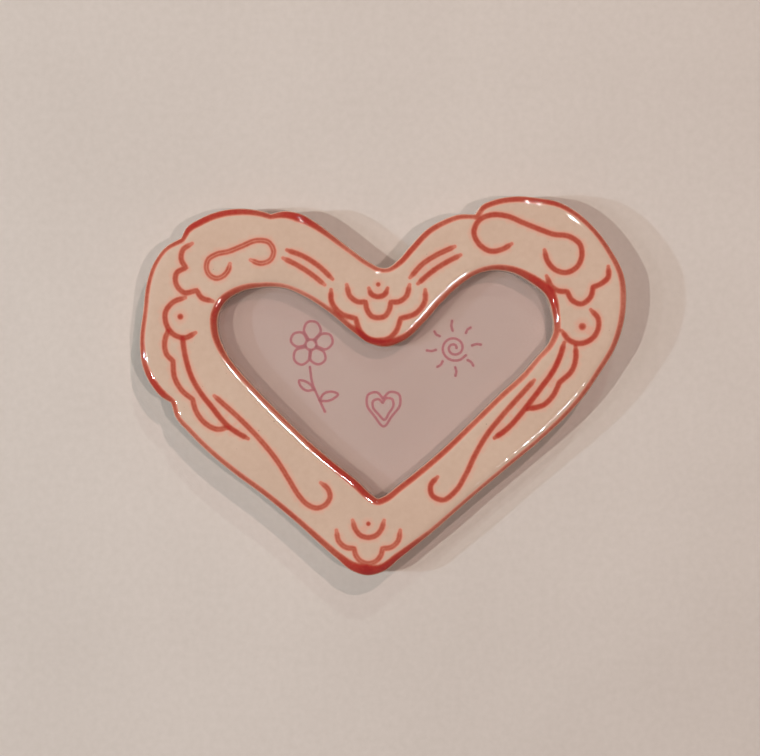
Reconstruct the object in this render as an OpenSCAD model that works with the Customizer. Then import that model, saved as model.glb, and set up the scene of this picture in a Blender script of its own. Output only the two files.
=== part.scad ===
// A heart-shaped photo frame that holds itself to a steel wall by four magnets.
// One glazed ceramic casting carries scrollwork grooves round a heart opening. A clear
// pane, a card, a pad and a board lie in a rebate behind it, held by four turn buttons.
// The origin is the middle of the top magnet's back face. X runs along the width, Z is up,
// and the front of the frame faces along -Y.

/* [Casting] */
// Width of the heart over its two lobes
frame_w = 150; // [138:1:165]
// Height of the heart from its taller lobe to its tip
frame_h = 117; // [108:1:128]
// Thickness of the casting without the magnets
casting_t = 9.5; // [9.5:0.5:12]
// Rounding of the outer front edge
rim_round = 2.2; // [1.6:0.1:2.6]
// Rounding of the front edge of the opening
lip_round = 2; // [1.4:0.1:2.4]
// Rounding of the outer back edge
back_round = 1; // [0.5:0.1:1.4]
// Inward slope of the outer side from its back to its front
side_draft = 0.2; // [0.1:0.1:0.5]

/* [Scrollwork] */
// Width of a groove
groove_w = 1.25; // [0.9:0.05:1.4]
// Depth of a groove
groove_deep = 0.7; // [0.4:0.1:0.9]
// Diameter of the dots inside the side curls
curl_dot_d = 2.6; // [2:0.1:3]
// Diameter of the dots over the shells
shell_dot_d = 1.9; // [1.4:0.1:2.4]

/* [Window and card] */
// How far the rebate reaches past the opening
rebate_lap = 4; // [3.4:0.1:4.4]
// Clearance round the pieces that lie in the rebate
insert_clear = 0.4; // [0.2:0.1:0.6]
// Thickness of the clear pane
pane_t = 1.2; // [0.8:0.1:1.4]
// Thickness of the card
card_t = 0.3; // [0.2:0.1:0.5]
// Play between the card and the pane
card_gap = 0.1; // [0.05:0.05:0.2]
// Thickness of the soft pad behind the card
pad_t = 0.8; // [0.5:0.1:1]
// Thickness of the backing board
board_t = 1.2; // [0.8:0.1:1.4]
// Radius of the finger notch in the board
notch_r = 5; // [3.5:0.5:5.5]

/* [Magnets] */
// Diameter of a disc magnet
magnet_d = 12; // [10:0.5:12.5]
// Thickness of a disc magnet
magnet_t = 3; // [3:0.1:3.6]
// Small bevel round the faces of a magnet
magnet_bevel = 0.25; // [0.1:0.05:0.4]
// Depth of the pocket that a magnet is glued into
pocket_deep = 0.5; // [0.3:0.1:0.5]
// Glue clearance round a magnet
pocket_clear = 0.2; // [0.1:0.05:0.25]

/* [Turn buttons] */
// Distance of a pivot from the edge of the rebate
pivot_wall = 4.5; // [4:0.1:5]
// Thickness of a turn button
button_t = 0.8; // [0.6:0.05:0.8]
// Gap between a turn button and the back of the casting
button_gap = 0.1; // [0.05:0.01:0.15]
// Radius of a turn button round its pivot
button_head_r = 3.4; // [3:0.1:3.8]
// Radius of a turn button at its tip
button_tip_r = 2.4; // [1.8:0.1:2.8]
// Distance from the pivot to the middle of the tip
button_reach = 7.2; // [6.8:0.1:7.6]
// Running clearance between a turn button and its screw
pivot_clear = 0.08; // [0.04:0.01:0.1]

/* [Pivot screws] */
// Diameter of the shank
shank_d = 2.8; // [2.4:0.1:3]
// Length of the shank with its point
shank_l = 6; // [5:0.5:6.5]
// Length of the point
point_l = 1; // [0.6:0.1:1.4]
// Diameter of the blunt end of the point
point_d = 1.2; // [0.8:0.1:1.6]
// Diameter of the head
head_d = 5.4; // [4.8:0.1:6]
// Height of the head
head_t = 1.2; // [1:0.05:1.2]
// Height of the domed part of the head
dome_t = 0.65; // [0.4:0.05:0.8]
// Gap between the head and its turn button
head_gap = 0.1; // [0.05:0.01:0.15]
// Length of a slot of the cross recess
recess_l = 2.9; // [2.4:0.1:3.4]
// Width of a slot of the cross recess
recess_w = 0.7; // [0.5:0.05:0.9]
// Depth of the cross recess
recess_deep = 0.7; // [0.5:0.05:0.8]

/* [Anchor plugs] */
// Diameter of a plug
plug_d = 5; // [4.4:0.1:5.2]
// Length of a plug
plug_l = 6; // [5.5:0.1:6]
// Bevel round the ends of a plug
plug_bevel = 0.3; // [0.2:0.05:0.4]
// Clearance between the screw and the bore of a plug
thread_clear = 0.02; // [0.01:0.01:0.04]
// Glue clearance between a plug and its hole in the casting
plug_clear = 0.05; // [0.03:0.01:0.08]
// Glue room left past the end of a plug
plug_spare = 0.2; // [0.1:0.1:0.4]

/* [Hidden] */

// Cuts run past the faces that they open by this much
overrun = 0.5;
// Longest straight step along an outline and along a groove
edge_step = 2.5;
groove_step = 1.9;
// Flat steps in a rounded edge, a groove's round end and a domed screw head
rim_steps = 4;
back_steps = 2;
end_steps = 4;
dome_steps = 4;
round_fn = 48;

// Shares of the frame's width and height, measured from the middle of the top magnet.
// A third value of 1 marks a sharp corner. Outlines run anticlockwise as seen from the front.
heart_shares = [
  [0.001, 0.105], [-0.009, 0.106], [-0.028, 0.118], [-0.068, 0.154], [-0.109, 0.195],
  [-0.142, 0.226], [-0.174, 0.248], [-0.21, 0.254], [-0.233, 0.247, 1], [-0.251, 0.254],
  [-0.293, 0.261], [-0.34, 0.254], [-0.38, 0.234], [-0.408, 0.21], [-0.419, 0.183, 1],
  [-0.45, 0.16], [-0.475, 0.118], [-0.49, 0.063], [-0.497, -0.008], [-0.504, -0.093],
  [-0.498, -0.159], [-0.479, -0.209], [-0.459, -0.239], [-0.44, -0.254, 1], [-0.43, -0.293],
  [-0.405, -0.33], [-0.362, -0.385], [-0.31, -0.44], [-0.247, -0.5], [-0.193, -0.557],
  [-0.102, -0.661], [-0.07, -0.694], [-0.037, -0.707], [-0.003, -0.697], [0.033, -0.661],
  [0.097, -0.595], [0.171, -0.512], [0.248, -0.429], [0.321, -0.351], [0.378, -0.282],
  [0.411, -0.233], [0.441, -0.177], [0.474, -0.107], [0.49, -0.045], [0.496, 0.018],
  [0.491, 0.084], [0.465, 0.151], [0.433, 0.206], [0.393, 0.252], [0.352, 0.28],
  [0.313, 0.289], [0.262, 0.293], [0.22, 0.283], [0.196, 0.269], [0.183, 0.246, 1],
  [0.152, 0.246], [0.116, 0.23], [0.089, 0.211], [0.047, 0.157], [0.026, 0.126]
];
opening_shares = [
  [0, -0.105], [-0.028, -0.098], [-0.066, -0.066], [-0.109, -0.02], [-0.162, 0.025],
  [-0.207, 0.049], [-0.253, 0.051], [-0.296, 0.039], [-0.327, 0.012], [-0.341, -0.022],
  [-0.341, -0.066], [-0.324, -0.122], [-0.297, -0.169], [-0.258, -0.223], [-0.212, -0.283],
  [-0.161, -0.346], [-0.111, -0.401], [-0.057, -0.456], [-0.023, -0.496], [-0.015, -0.502],
  [-0.005, -0.498], [0.026, -0.469], [0.104, -0.388], [0.177, -0.3], [0.238, -0.224],
  [0.28, -0.175], [0.31, -0.131], [0.334, -0.095], [0.343, -0.068], [0.342, -0.019],
  [0.33, 0.028], [0.296, 0.065], [0.261, 0.089], [0.227, 0.096], [0.193, 0.088],
  [0.154, 0.057], [0.119, 0.015], [0.08, -0.041], [0.041, -0.087]
];
heart_mid_share = [-0.004, -0.245];

// Grooves of the left side, from the top lobe down to the tip
left_scroll_shares = [
  [-0.316, 0.112], [-0.319, 0.097], [-0.328, 0.082], [-0.343, 0.074], [-0.357, 0.082],
  [-0.364, 0.101], [-0.36, 0.123], [-0.343, 0.137], [-0.319, 0.144], [-0.292, 0.158],
  [-0.26, 0.173], [-0.237, 0.168], [-0.227, 0.145], [-0.233, 0.123], [-0.253, 0.113],
  [-0.274, 0.122]
];
left_upper_flute_shares = [[-0.2, 0.148], [-0.167, 0.132], [-0.136, 0.107], [-0.107, 0.072]];
left_lower_flute_shares = [[-0.208, 0.127], [-0.178, 0.108], [-0.147, 0.082], [-0.123, 0.057]];
left_shell_shares = [
  [-0.393, 0.165], [-0.412, 0.148], [-0.415, 0.123], [-0.406, 0.102, 1], [-0.425, 0.087],
  [-0.425, 0.057], [-0.41, 0.037], [-0.384, 0.042, 1], [-0.374, 0.024], [-0.351, 0.014]
];
left_curl_shares = [
  [-0.407, 0.023], [-0.429, 0.014], [-0.447, -0.013], [-0.445, -0.048], [-0.429, -0.074],
  [-0.407, -0.081], [-0.386, -0.068]
];
left_outer_leaf_shares = [
  [-0.443, -0.063], [-0.449, -0.094], [-0.445, -0.124], [-0.432, -0.142, 1], [-0.429, -0.184],
  [-0.413, -0.22], [-0.392, -0.242, 1], [-0.386, -0.27], [-0.366, -0.305], [-0.343, -0.32],
  [-0.321, -0.317]
];
left_inner_leaf_shares = [
  [-0.413, -0.082], [-0.407, -0.129], [-0.394, -0.184], [-0.37, -0.235], [-0.351, -0.265],
  [-0.338, -0.287], [-0.318, -0.314], [-0.3, -0.33], [-0.279, -0.345]
];
left_stem_shares = [
  [-0.348, -0.233], [-0.3, -0.288], [-0.262, -0.337], [-0.218, -0.406], [-0.196, -0.451],
  [-0.174, -0.496], [-0.159, -0.516], [-0.139, -0.526], [-0.121, -0.517], [-0.112, -0.495],
  [-0.117, -0.475], [-0.131, -0.46]
];

// Grooves of the right side, from the top lobe down to the tip
right_scroll_shares = [
  [0.258, 0.164], [0.239, 0.15], [0.215, 0.145], [0.192, 0.163], [0.181, 0.193],
  [0.192, 0.226], [0.219, 0.24], [0.25, 0.236], [0.282, 0.219], [0.313, 0.203],
  [0.344, 0.189], [0.376, 0.183], [0.397, 0.163], [0.401, 0.133], [0.391, 0.104],
  [0.368, 0.089], [0.344, 0.099], [0.33, 0.122], [0.325, 0.148]
];
right_upper_flute_shares = [[0.051, 0.076], [0.078, 0.113], [0.105, 0.135], [0.142, 0.157]];
right_lower_flute_shares = [[0.067, 0.06], [0.094, 0.09], [0.121, 0.113], [0.154, 0.135]];
right_shell_shares = [
  [0.455, 0.105], [0.454, 0.076], [0.44, 0.06], [0.424, 0.051, 1], [0.419, 0.026],
  [0.399, 0.007], [0.381, 0.017], [0.371, 0.039, 1], [0.352, 0.042], [0.34, 0.052],
  [0.329, 0.08]
];
right_curl_shares = [
  [0.419, -0.008], [0.434, -0.031], [0.434, -0.058], [0.422, -0.083], [0.399, -0.096],
  [0.376, -0.088], [0.36, -0.063]
];
right_outer_leaf_shares = [
  [0.388, -0.104], [0.389, -0.129], [0.382, -0.164], [0.355, -0.199, 1], [0.344, -0.229],
  [0.325, -0.255], [0.291, -0.268]
];
right_inner_leaf_shares = [
  [0.365, -0.094], [0.357, -0.128], [0.342, -0.169], [0.319, -0.21], [0.292, -0.255],
  [0.27, -0.29], [0.247, -0.321], [0.223, -0.343]
];
right_stem_shares = [
  [0.304, -0.192], [0.277, -0.23], [0.242, -0.28], [0.207, -0.336], [0.184, -0.386],
  [0.163, -0.442], [0.144, -0.481], [0.117, -0.505], [0.095, -0.491], [0.093, -0.467],
  [0.107, -0.445]
];

// Right halves of the shells at the top and at the tip, measured from each shell's own axis
top_axis_share = -0.014;
low_axis_share = -0.034;
top_cup_shares = [[0, 0.026], [0.014, 0.033], [0.019, 0.048]];
top_inner_shell_shares = [
  [0, -0.029], [0.013, -0.025], [0.022, -0.01], [0.026, 0.012, 1], [0.042, 0.013],
  [0.057, 0.027], [0.064, 0.057]
];
top_outer_shell_shares = [
  [0, -0.088], [0.023, -0.082], [0.036, -0.065], [0.046, -0.031, 1], [0.077, -0.017],
  [0.095, 0.014], [0.096, 0.044]
];
low_cup_shares = [[0, -0.603], [0.015, -0.598], [0.027, -0.58], [0.032, -0.558]];
low_shell_shares = [
  [0, -0.671], [0.016, -0.664], [0.026, -0.648], [0.029, -0.632, 1], [0.047, -0.628],
  [0.06, -0.613], [0.065, -0.584]
];

// Dots pressed inside the curls and over the shells
curl_dot_shares = [[-0.417, -0.026], [0.402, -0.052]];
shell_dot_shares = [[-0.014, 0.058], [-0.034, -0.567]];

// Middles of the magnets
magnet_top_share = [0, 0];
magnet_left_share = [-0.424, -0.06];
magnet_right_share = [0.424, -0.06];
magnet_bottom_share = [-0.031, -0.616];

// The points of opening_shares that the turn buttons lie square to: upper left, upper right,
// lower left and lower right
pivot_points = [6, 32, 14, 23];

// Heights above the wall, from the back of the casting to its front
back_at = magnet_t - pocket_deep;
board_at = back_at;
pad_at = board_at + board_t;
card_at = pad_at + pad_t;
pane_at = card_at + card_t + card_gap;
seat_at = pane_at + pane_t;
front_at = back_at + casting_t;
button_at = back_at - button_gap - button_t;
head_at = button_at - head_gap - head_t;
shank_at = head_at + head_t;

// A share pair as a place in millimetres
function placed(share) = [share[0] * frame_w, share[1] * frame_h];
// The list's item i, counted round past either end
function around(list, i) = list[(i + len(list)) % len(list)];
function unit(v) = v / norm(v);
// A quarter turn to the left: into the heart, on an outline that runs anticlockwise
function left_of(v) = [-v[1], v[0]];

// Direction of a smooth curve at point i, weighted towards its nearer neighbour
function heading(points, i) =
  let (
    before = points[i] - around(points, i - 1),
    after = around(points, i + 1) - points[i]
  )
  (unit(before) * norm(after) + unit(after) * norm(before)) / (norm(before) + norm(after));

// A point at t, from 0 to 1, along a smooth span from a to b with the slopes da and db
function along(a, da, b, db, t) =
  a * (2 * t ^ 3 - 3 * t ^ 2 + 1) + da * (t ^ 3 - 2 * t ^ 2 + t)
  + b * (3 * t ^ 2 - 2 * t ^ 3) + db * (t ^ 3 - t ^ 2);

// A smooth curve through a table of shares, in straight steps no longer than step
function curve(shares, closed, step) =
  let (
    points = [for (share = shares) placed(share)],
    last = len(shares) - 1,
    sharp = [for (i = [0 : last]) len(shares[i]) == 3 || !closed && (i == 0 || i == last)]
  )
  [
    for (i = [0 : closed ? last : last - 1])
      let (
        j = (i + 1) % len(points),
        span = points[j] - points[i],
        start = sharp[i] ? unit(span) : heading(points, i),
        end = sharp[j] ? unit(span) : heading(points, j),
        steps = ceil(norm(span) / step)
      )
      for (k = [0 : steps - 1])
        along(points[i], start * norm(span), points[j], end * norm(span), k / steps),
    if (!closed) points[last]
  ];

// The mitred normal at point i of a closed outline
function mitre(points, i) =
  let (
    a = left_of(unit(points[i] - around(points, i - 1))),
    b = left_of(unit(around(points, i + 1) - points[i]))
  )
  (a + b) / (1 + a * b);

// A closed outline drawn in by a distance, or let out where the distance is negative
function drawn_in(points, distance) =
  [for (i = [0 : len(points) - 1]) points[i] + mitre(points, i) * distance];

// The edge of a line of even width with round ends, drawn round the points of a path
function line_edge(path, half_w) =
  let (
    last = len(path) - 1,
    normals = [
      for (i = [0 : last])
        i == 0 ? left_of(unit(path[1] - path[0]))
        : i == last ? left_of(unit(path[last] - path[last - 1]))
        : mitre(path, i)
    ],
    way_out = -left_of(normals[last]),
    way_in = left_of(normals[0])
  )
  [
    for (i = [0 : last]) path[i] - normals[i] * half_w,
    for (k = [1 : end_steps - 1])
      path[last] + (-normals[last] * cos(180 * k / end_steps)
        + way_out * sin(180 * k / end_steps)) * half_w,
    for (i = [last : -1 : 0]) path[i] + normals[i] * half_w,
    for (k = [1 : end_steps - 1])
      path[0] + (normals[0] * cos(180 * k / end_steps)
        + way_in * sin(180 * k / end_steps)) * half_w
  ];

// A shell's whole path from its right half: the half mirrored in its axis, then the half
function both_halves(half_shares, axis_share) =
  let (last = len(half_shares) - 1)
  [
    for (i = [last : -1 : 1]) sided(half_shares[i], axis_share, -1),
    for (i = [0 : last]) sided(half_shares[i], axis_share, 1)
  ];
function sided(share, axis_share, side) =
  [for (k = [0 : len(share) - 1]) k == 0 ? axis_share + side * share[0] : share[k]];

heart_edge = curve(heart_shares, true, edge_step);
opening_edge = curve(opening_shares, true, edge_step);
rebate_edge = drawn_in(opening_edge, -rebate_lap);
insert_edge = drawn_in(opening_edge, insert_clear - rebate_lap);
heart_mid = placed(heart_mid_share);
rebate_top = placed(opening_shares[0]) + [0, rebate_lap - insert_clear];

groove_lines = [
  left_scroll_shares, left_upper_flute_shares, left_lower_flute_shares, left_shell_shares,
  left_curl_shares, left_outer_leaf_shares, left_inner_leaf_shares, left_stem_shares,
  right_scroll_shares, right_upper_flute_shares, right_lower_flute_shares, right_shell_shares,
  right_curl_shares, right_outer_leaf_shares, right_inner_leaf_shares, right_stem_shares,
  both_halves(top_cup_shares, top_axis_share),
  both_halves(top_inner_shell_shares, top_axis_share),
  both_halves(top_outer_shell_shares, top_axis_share),
  both_halves(low_cup_shares, low_axis_share),
  both_halves(low_shell_shares, low_axis_share)
];

// Pairs of how far the side is drawn in and how high it is, from the back to the front
casting_profile = [
  for (k = [0 : back_steps])
    let (turn = 90 * k / back_steps)
    [back_round * (1 - sin(turn)), back_at + back_round * (1 - cos(turn))],
  for (k = [0 : rim_steps])
    let (turn = 90 * k / rim_steps)
    [side_draft + rim_round * (1 - cos(turn)), front_at - rim_round * (1 - sin(turn))]
];
// The opening's wall, which flares at the front and crosses the face on its last slope
flare_turn = 90 * (rim_steps - 1) / rim_steps;
flare_slope = (1 - sin(flare_turn)) / cos(flare_turn);
opening_profile = [
  [0, seat_at - overrun],
  for (k = [0 : rim_steps - 1])
    let (turn = 90 * k / rim_steps)
    [lip_round * (cos(turn) - 1), front_at - lip_round * (1 - sin(turn))],
  [-lip_round - overrun, front_at + overrun * flare_slope]
];

// Where a turn button's pivot stands, and the way that its arm points
pivot_out = rebate_lap + pivot_wall;
opening_points = [for (share = opening_shares) placed(share)];
function arm_way(point) = left_of(unit(heading(opening_points, point)));
function pivot_of(point) = opening_points[point] - arm_way(point) * pivot_out;
function arm_turn(point) = atan2(arm_way(point)[1], arm_way(point)[0]);

// Shapes are drawn flat as seen from the front, with their height rising from the wall
module facing_front() {
  rotate([90, 0, 0]) children();
}

// A solid of rings, each one the outline drawn in as the profile says, closed at both ends
module heart_loft(edge, profile) {
  count = len(edge);
  rings = len(profile);
  points = [
    for (step = profile) each [for (p = drawn_in(edge, step[0])) [p[0], p[1], step[1]]],
    [heart_mid[0], heart_mid[1], profile[0][1]],
    [heart_mid[0], heart_mid[1], profile[rings - 1][1]]
  ];
  back_mid = rings * count;
  front_ring = (rings - 1) * count;
  faces = [
    for (r = [0 : rings - 2], i = [0 : count - 1])
      let (j = (i + 1) % count, low = r * count, high = low + count)
      each [[low + j, low + i, high + i], [low + j, high + i, high + j]],
    for (i = [0 : count - 1])
      let (j = (i + 1) % count)
      each [[back_mid, i, j], [back_mid + 1, front_ring + j, front_ring + i]]
  ];
  polyhedron(points, faces);
}

// A flat piece that lies in the rebate
module insert_sheet(height, thickness) {
  translate([0, 0, height]) linear_extrude(thickness) polygon(insert_edge);
}

// The scrollwork as flat lines and dots
module scrollwork() {
  for (shares = groove_lines) {
    polygon(line_edge(curve(shares, false, groove_step), groove_w / 2));
  }
  for (share = curl_dot_shares) translate(placed(share)) circle(d = curl_dot_d, $fn = round_fn);
  for (share = shell_dot_shares) translate(placed(share)) circle(d = shell_dot_d, $fn = round_fn);
}

module frame_casting() {
  color("#d9c1ae") facing_front() difference() {
    heart_loft(heart_edge, casting_profile);
    heart_loft(opening_edge, opening_profile);
    translate([0, 0, back_at - overrun])
      linear_extrude(seat_at - back_at + overrun) polygon(rebate_edge);
    for (share = [magnet_top_share, magnet_left_share, magnet_right_share, magnet_bottom_share]) {
      translate([for (v = placed(share)) v, back_at - overrun])
        cylinder(d = magnet_d + 2 * pocket_clear, h = pocket_deep + overrun, $fn = round_fn);
    }
    for (point = pivot_points) {
      translate([for (v = pivot_of(point)) v, back_at - overrun])
        cylinder(d = plug_d + 2 * plug_clear, h = plug_l + plug_spare + overrun, $fn = round_fn);
    }
    translate([0, 0, front_at - groove_deep]) linear_extrude(groove_deep + overrun) scrollwork();
  }
}

module window_pane() {
  color("#dfe9ea") facing_front() insert_sheet(pane_at, pane_t);
}

module photo_card() {
  color("#e9d6cc") facing_front() insert_sheet(card_at, card_t);
}

module filler_pad() {
  color("#b9a58a") facing_front() insert_sheet(pad_at, pad_t);
}

module back_board() {
  color("#8a6a4a") facing_front() difference() {
    insert_sheet(board_at, board_t);
    translate([for (v = rebate_top) v, board_at - overrun])
      cylinder(r = notch_r, h = board_t + 2 * overrun, $fn = round_fn);
  }
}

module magnet(share) {
  color("silver") facing_front() translate(placed(share)) rotate_extrude($fn = round_fn) polygon([
    [0, 0], [magnet_d / 2 - magnet_bevel, 0], [magnet_d / 2, magnet_bevel],
    [magnet_d / 2, magnet_t - magnet_bevel], [magnet_d / 2 - magnet_bevel, magnet_t], [0, magnet_t]
  ]);
}

// A pressed steel tab: a round head and a round tip joined by their common tangents
module turn_button(point) {
  lean = asin((button_head_r - button_tip_r) / button_reach);
  side = [sin(lean), cos(lean)];
  across = [side[0], -side[1]];
  color("#b8bcc0") facing_front()
    translate([for (v = pivot_of(point)) v, button_at]) rotate([0, 0, arm_turn(point)])
    difference() {
      linear_extrude(button_t) {
        circle(r = button_head_r, $fn = round_fn);
        translate([button_reach, 0]) circle(r = button_tip_r, $fn = round_fn);
        polygon([
          side * button_head_r, across * button_head_r,
          [button_reach, 0] + across * button_tip_r, [button_reach, 0] + side * button_tip_r
        ]);
      }
      translate([0, 0, -overrun])
        cylinder(d = shank_d + 2 * pivot_clear, h = button_t + 2 * overrun, $fn = round_fn);
    }
}

// A pan-head screw with a cross recess
module pivot_screw(point) {
  dome = [
    for (k = [0 : dome_steps])
      let (turn = 90 * k / dome_steps)
      [head_d / 2 * sin(turn), head_at + dome_t * (1 - cos(turn))]
  ];
  color("#c9ccd0") facing_front() translate(pivot_of(point)) difference() {
    rotate_extrude($fn = round_fn) polygon([
      for (p = dome) p,
      [head_d / 2, shank_at], [shank_d / 2, shank_at],
      [shank_d / 2, shank_at + shank_l - point_l], [point_d / 2, shank_at + shank_l],
      [0, shank_at + shank_l]
    ]);
    for (turn = [0, 90]) rotate([0, 0, arm_turn(point) + turn])
      translate([-recess_l / 2, -recess_w / 2, head_at - overrun])
      cube([recess_l, recess_w, recess_deep + overrun]);
  }
}

// A nylon plug, glued in its hole, that the screw cuts its thread in
module anchor_plug(point) {
  color("#eceae2") facing_front() translate([for (v = pivot_of(point)) v, back_at]) difference() {
    rotate_extrude($fn = round_fn) polygon([
      [0, 0], [plug_d / 2 - plug_bevel, 0], [plug_d / 2, plug_bevel],
      [plug_d / 2, plug_l - plug_bevel], [plug_d / 2 - plug_bevel, plug_l], [0, plug_l]
    ]);
    translate([0, 0, -overrun])
      cylinder(d = shank_d + 2 * thread_clear, h = plug_l + 2 * overrun, $fn = round_fn);
  }
}

frame_casting();
window_pane();
photo_card();
filler_pad();
back_board();
magnet(magnet_top_share);  // magnet_top
magnet(magnet_left_share);  // magnet_left
magnet(magnet_right_share);  // magnet_right
magnet(magnet_bottom_share);  // magnet_bottom
turn_button(pivot_points[0]);  // turn_button_upper_left
turn_button(pivot_points[1]);  // turn_button_upper_right
turn_button(pivot_points[2]);  // turn_button_lower_left
turn_button(pivot_points[3]);  // turn_button_lower_right
pivot_screw(pivot_points[0]);  // pivot_screw_upper_left
pivot_screw(pivot_points[1]);  // pivot_screw_upper_right
pivot_screw(pivot_points[2]);  // pivot_screw_lower_left
pivot_screw(pivot_points[3]);  // pivot_screw_lower_right
anchor_plug(pivot_points[0]);  // anchor_plug_upper_left
anchor_plug(pivot_points[1]);  // anchor_plug_upper_right
anchor_plug(pivot_points[2]);  // anchor_plug_lower_left
anchor_plug(pivot_points[3]);  // anchor_plug_lower_right
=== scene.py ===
import math
import bmesh
import bpy
import numpy as np
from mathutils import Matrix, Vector
from mathutils.geometry import delaunay_2d_cdt
from mathutils.kdtree import KDTree


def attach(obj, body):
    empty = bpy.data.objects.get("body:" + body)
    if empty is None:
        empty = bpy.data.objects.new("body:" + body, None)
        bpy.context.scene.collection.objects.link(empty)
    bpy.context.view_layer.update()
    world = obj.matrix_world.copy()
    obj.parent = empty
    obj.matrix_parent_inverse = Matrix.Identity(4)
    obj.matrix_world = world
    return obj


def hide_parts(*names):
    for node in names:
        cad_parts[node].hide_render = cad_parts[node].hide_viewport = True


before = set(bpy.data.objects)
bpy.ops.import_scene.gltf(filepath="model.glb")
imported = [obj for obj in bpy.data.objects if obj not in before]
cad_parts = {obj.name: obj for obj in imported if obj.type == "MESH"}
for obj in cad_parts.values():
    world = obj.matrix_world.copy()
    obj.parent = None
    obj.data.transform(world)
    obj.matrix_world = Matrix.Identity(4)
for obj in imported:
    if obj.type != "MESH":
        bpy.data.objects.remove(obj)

bpy.context.view_layer.update()

# The ceramic heart.
# One cast piece with scrollwork carved in its face. It is glazed cream over red enamel, which
# pools in the grooves and along both rims, and its back stays bare where it stood in the kiln.
mm = 0.001
frame_w = 150 * mm
frame_h = 117 * mm
# Outlines and grooves, as thousandths of the frame's width and height. A 1 marks a sharp corner
heart_shares = [
    [1, 105], [-9, 106], [-28, 118], [-68, 154], [-109, 195], [-142, 226], [-174, 248],
    [-210, 254], [-233, 247, 1], [-251, 254], [-293, 261], [-340, 254], [-380, 234], [-408, 210],
    [-419, 183, 1], [-450, 160], [-475, 118], [-490, 63], [-497, -8], [-504, -93], [-498, -159],
    [-479, -209], [-459, -239], [-440, -254, 1], [-430, -293], [-405, -330], [-362, -385],
    [-310, -440], [-247, -500], [-193, -557], [-102, -661], [-70, -694], [-37, -707], [-3, -697],
    [33, -661], [97, -595], [171, -512], [248, -429], [321, -351], [378, -282], [411, -233],
    [441, -177], [474, -107], [490, -45], [496, 18], [491, 84], [465, 151], [433, 206],
    [393, 252], [352, 280], [313, 289], [262, 293], [220, 283], [196, 269], [183, 246, 1],
    [152, 246], [116, 230], [89, 211], [47, 157], [26, 126],
]
opening_shares = [
    [0, -105], [-28, -98], [-66, -66], [-109, -20], [-162, 25], [-207, 49], [-253, 51],
    [-296, 39], [-327, 12], [-341, -22], [-341, -66], [-324, -122], [-297, -169], [-258, -223],
    [-212, -283], [-161, -346], [-111, -401], [-57, -456], [-23, -496], [-15, -502], [-5, -498],
    [26, -469], [104, -388], [177, -300], [238, -224], [280, -175], [310, -131], [334, -95],
    [343, -68], [342, -19], [330, 28], [296, 65], [261, 89], [227, 96], [193, 88], [154, 57],
    [119, 15], [80, -41], [41, -87],
]
left_scroll = [
    [-316, 112], [-319, 97], [-328, 82], [-343, 74], [-357, 82], [-364, 101], [-360, 123],
    [-343, 137], [-319, 144], [-292, 158], [-260, 173], [-237, 168], [-227, 145], [-233, 123],
    [-253, 113], [-274, 122],
]
left_upper_flute = [[-200, 148], [-167, 132], [-136, 107], [-107, 72]]
left_lower_flute = [[-208, 127], [-178, 108], [-147, 82], [-123, 57]]
left_shell = [
    [-393, 165], [-412, 148], [-415, 123], [-406, 102, 1], [-425, 87], [-425, 57], [-410, 37],
    [-384, 42, 1], [-374, 24], [-351, 14],
]
left_curl = [
    [-407, 23], [-429, 14], [-447, -13], [-445, -48], [-429, -74], [-407, -81], [-386, -68],
]
left_outer_leaf = [
    [-443, -63], [-449, -94], [-445, -124], [-432, -142, 1], [-429, -184], [-413, -220],
    [-392, -242, 1], [-386, -270], [-366, -305], [-343, -320], [-321, -317],
]
left_inner_leaf = [
    [-413, -82], [-407, -129], [-394, -184], [-370, -235], [-351, -265], [-338, -287],
    [-318, -314], [-300, -330], [-279, -345],
]
left_stem = [
    [-348, -233], [-300, -288], [-262, -337], [-218, -406], [-196, -451], [-174, -496],
    [-159, -516], [-139, -526], [-121, -517], [-112, -495], [-117, -475], [-131, -460],
]
right_scroll = [
    [258, 164], [239, 150], [215, 145], [192, 163], [181, 193], [192, 226], [219, 240],
    [250, 236], [282, 219], [313, 203], [344, 189], [376, 183], [397, 163], [401, 133],
    [391, 104], [368, 89], [344, 99], [330, 122], [325, 148],
]
right_upper_flute = [[51, 76], [78, 113], [105, 135], [142, 157]]
right_lower_flute = [[67, 60], [94, 90], [121, 113], [154, 135]]
right_shell = [
    [455, 105], [454, 76], [440, 60], [424, 51, 1], [419, 26], [399, 7], [381, 17], [371, 39, 1],
    [352, 42], [340, 52], [329, 80],
]
right_curl = [
    [419, -8], [434, -31], [434, -58], [422, -83], [399, -96], [376, -88], [360, -63],
]
right_outer_leaf = [
    [388, -104], [389, -129], [382, -164], [355, -199, 1], [344, -229], [325, -255], [291, -268],
]
right_inner_leaf = [
    [365, -94], [357, -128], [342, -169], [319, -210], [292, -255], [270, -290], [247, -321],
    [223, -343],
]
right_stem = [
    [304, -192], [277, -230], [242, -280], [207, -336], [184, -386], [163, -442], [144, -481],
    [117, -505], [95, -491], [93, -467], [107, -445],
]
top_cup = [[0, 26], [14, 33], [19, 48]]
top_inner_shell = [
    [0, -29], [13, -25], [22, -10], [26, 12, 1], [42, 13], [57, 27], [64, 57],
]
top_outer_shell = [
    [0, -88], [23, -82], [36, -65], [46, -31, 1], [77, -17], [95, 14], [96, 44],
]
low_cup = [[0, -603], [15, -598], [27, -580], [32, -558]]
low_shell = [
    [0, -671], [16, -664], [26, -648], [29, -632, 1], [47, -628], [60, -613], [65, -584],
]

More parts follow.
